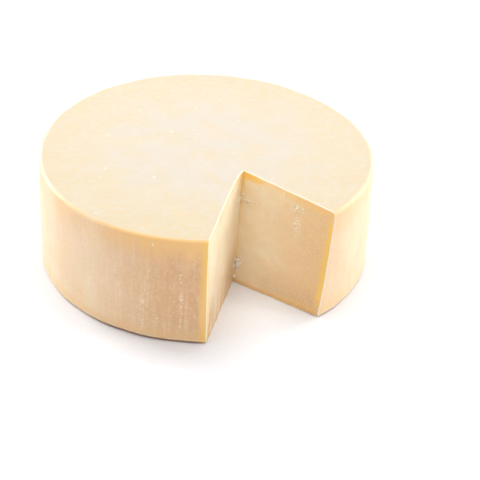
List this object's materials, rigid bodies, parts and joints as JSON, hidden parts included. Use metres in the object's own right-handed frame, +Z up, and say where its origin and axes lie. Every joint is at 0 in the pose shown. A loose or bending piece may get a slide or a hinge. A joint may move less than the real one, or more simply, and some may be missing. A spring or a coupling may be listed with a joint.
{
  "type": "parmesan cheese wheel",
  "caption": "Low round wheel of hard pale yellow cheese with a smooth rind, with a wedge cut out so that the paste shows on the cut faces.",
  "frame": {"origin": "on the surface that the wheel rests on, under the wheel's axis", "axes": "+Z up along the wheel's axis; the notch opens towards -Y and a little towards +X"},
  "size_m": [0.3516, 0.3515, 0.1202],
  "materials": {
    "aged_cheese": "satin dry rind, pale cream to golden, and smooth matt cut paste in pale straw; a soft waxy translucence"
  },
  "bodies": {
    "root": {"cheese_wheel": "aged_cheese"}
  },
  "joints": []
}
